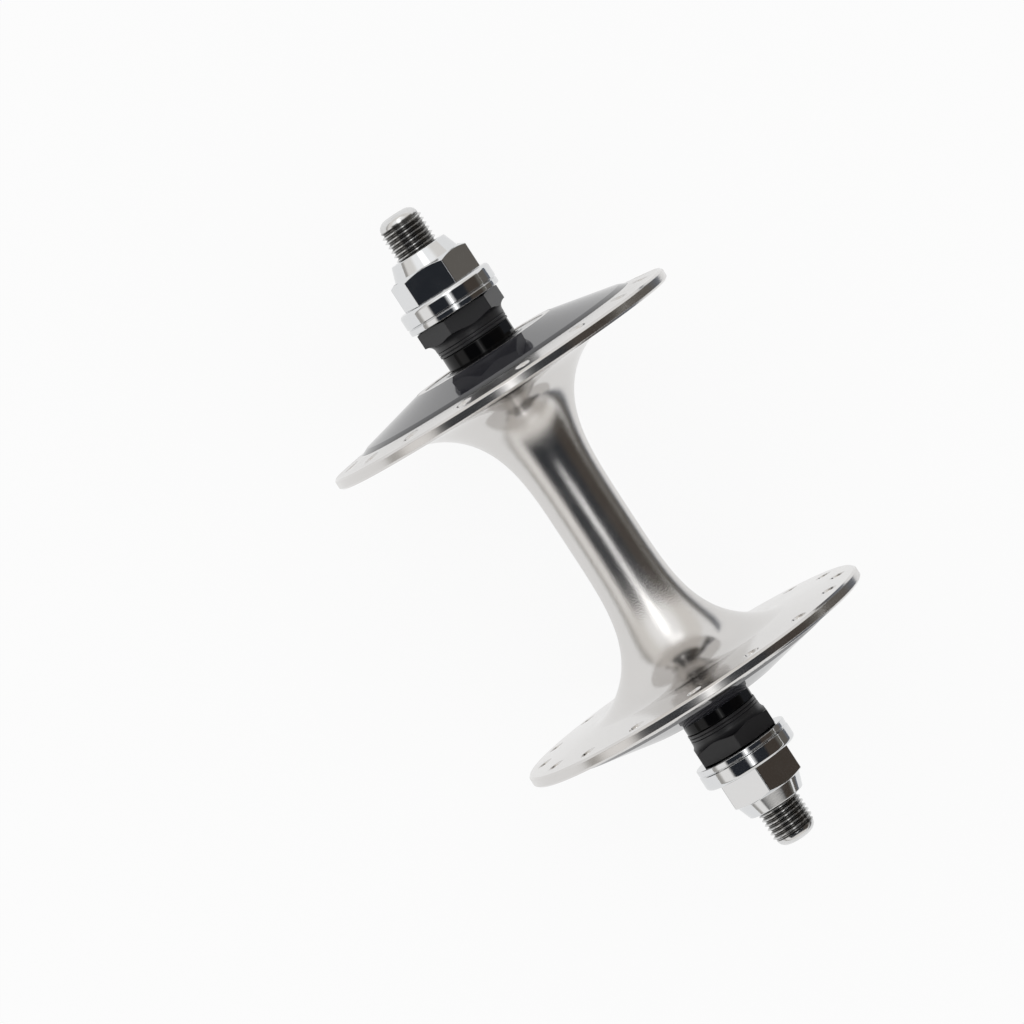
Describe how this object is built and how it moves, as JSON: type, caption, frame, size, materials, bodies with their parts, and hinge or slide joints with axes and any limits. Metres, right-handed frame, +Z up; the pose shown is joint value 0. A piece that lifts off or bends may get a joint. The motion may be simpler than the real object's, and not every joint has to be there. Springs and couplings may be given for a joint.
{
  "type": "bicycle front hub",
  "caption": "High flange bicycle front hub with a solid threaded axle, cup and cone ball bearings, dark face rings, and nuts with captive washers.",
  "frame": {"origin": "middle of the hub on the axle's centre line, halfway between the locknuts", "axes": "+Y along the axle to the left end, +Z up, +X forward, square to both"},
  "size_m": [0.075, 0.1434, 0.0748],
  "materials": {
    "polished_aluminium": "mirror polished",
    "black_film": "glossy charcoal film",
    "bearing_steel": "ground and polished",
    "zinc_steel": "rolled thread, zinc plated",
    "chrome": "bright chrome plate",
    "black_oxide": "satin black oxide",
    "gloss_black": "gloss black",
    "black_rubber": "moulded nitrile rubber"
  },
  "bodies": {
    "axle": {"axle": "zinc_steel", "left_cone": "gloss_black", "right_cone": "gloss_black", "left_seal": "black_rubber", "right_seal": "black_rubber", "left_key_washer": "black_oxide", "right_key_washer": "black_oxide", "left_locknut": "black_oxide", "right_locknut": "black_oxide"},
    "shell": {"hub_shell": "polished_aluminium", "left_face_ring": "black_film", "right_face_ring": "black_film", "left_bearing_cup": "bearing_steel", "right_bearing_cup": "bearing_steel", "left_dust_cap": "gloss_black", "right_dust_cap": "gloss_black"},
    "left_ball_set": {"left_balls": "bearing_steel"},
    "right_ball_set": {"right_balls": "bearing_steel"},
    "left_washer": {"left_captive_washer": "chrome"},
    "right_washer": {"right_captive_washer": "chrome"},
    "left_nut": {"left_axle_nut": "chrome"},
    "right_nut": {"right_axle_nut": "chrome"}
  },
  "joints": [
    {"name": "hub_spin", "type": "hinge", "parent": "axle", "child": "shell", "pos_m": [0, 0, 0], "axis": [0, 1, 0], "continuous": true},
    {"name": "left_ball_orbit", "type": "hinge", "parent": "axle", "child": "left_ball_set", "pos_m": [0, 0.0346, 0], "axis": [0, 1, 0], "continuous": true},
    {"name": "left_washer_slide", "type": "slide", "parent": "axle", "child": "left_washer", "axis": [0, 1, 0], "range_m": [0, 0.008]},
    {"name": "left_nut_turn", "type": "hinge", "parent": "left_washer", "child": "left_nut", "pos_m": [0, 0.0575, 0], "axis": [0, 1, 0], "range_deg": [0, 2880]},
    {"name": "right_ball_orbit", "type": "hinge", "parent": "axle", "child": "right_ball_set", "pos_m": [0, -0.0346, 0], "axis": [0, 1, 0], "continuous": true},
    {"name": "right_washer_slide", "type": "slide", "parent": "axle", "child": "right_washer", "axis": [0, -1, 0], "range_m": [0, 0.008]},
    {"name": "right_nut_turn", "type": "hinge", "parent": "right_washer", "child": "right_nut", "pos_m": [0, -0.0575, 0], "axis": [0, -1, 0], "range_deg": [0, 2880]}
  ],
  "couplings": [
    {"joint": "left_ball_orbit", "follows": "hub_spin", "ratio": 0.60143},
    {"joint": "left_nut_turn", "follows": "left_washer_slide", "rad_per_m": 6283.2},
    {"joint": "right_ball_orbit", "follows": "hub_spin", "ratio": 0.60143},
    {"joint": "right_nut_turn", "follows": "right_washer_slide", "rad_per_m": 6283.2}
  ]
}
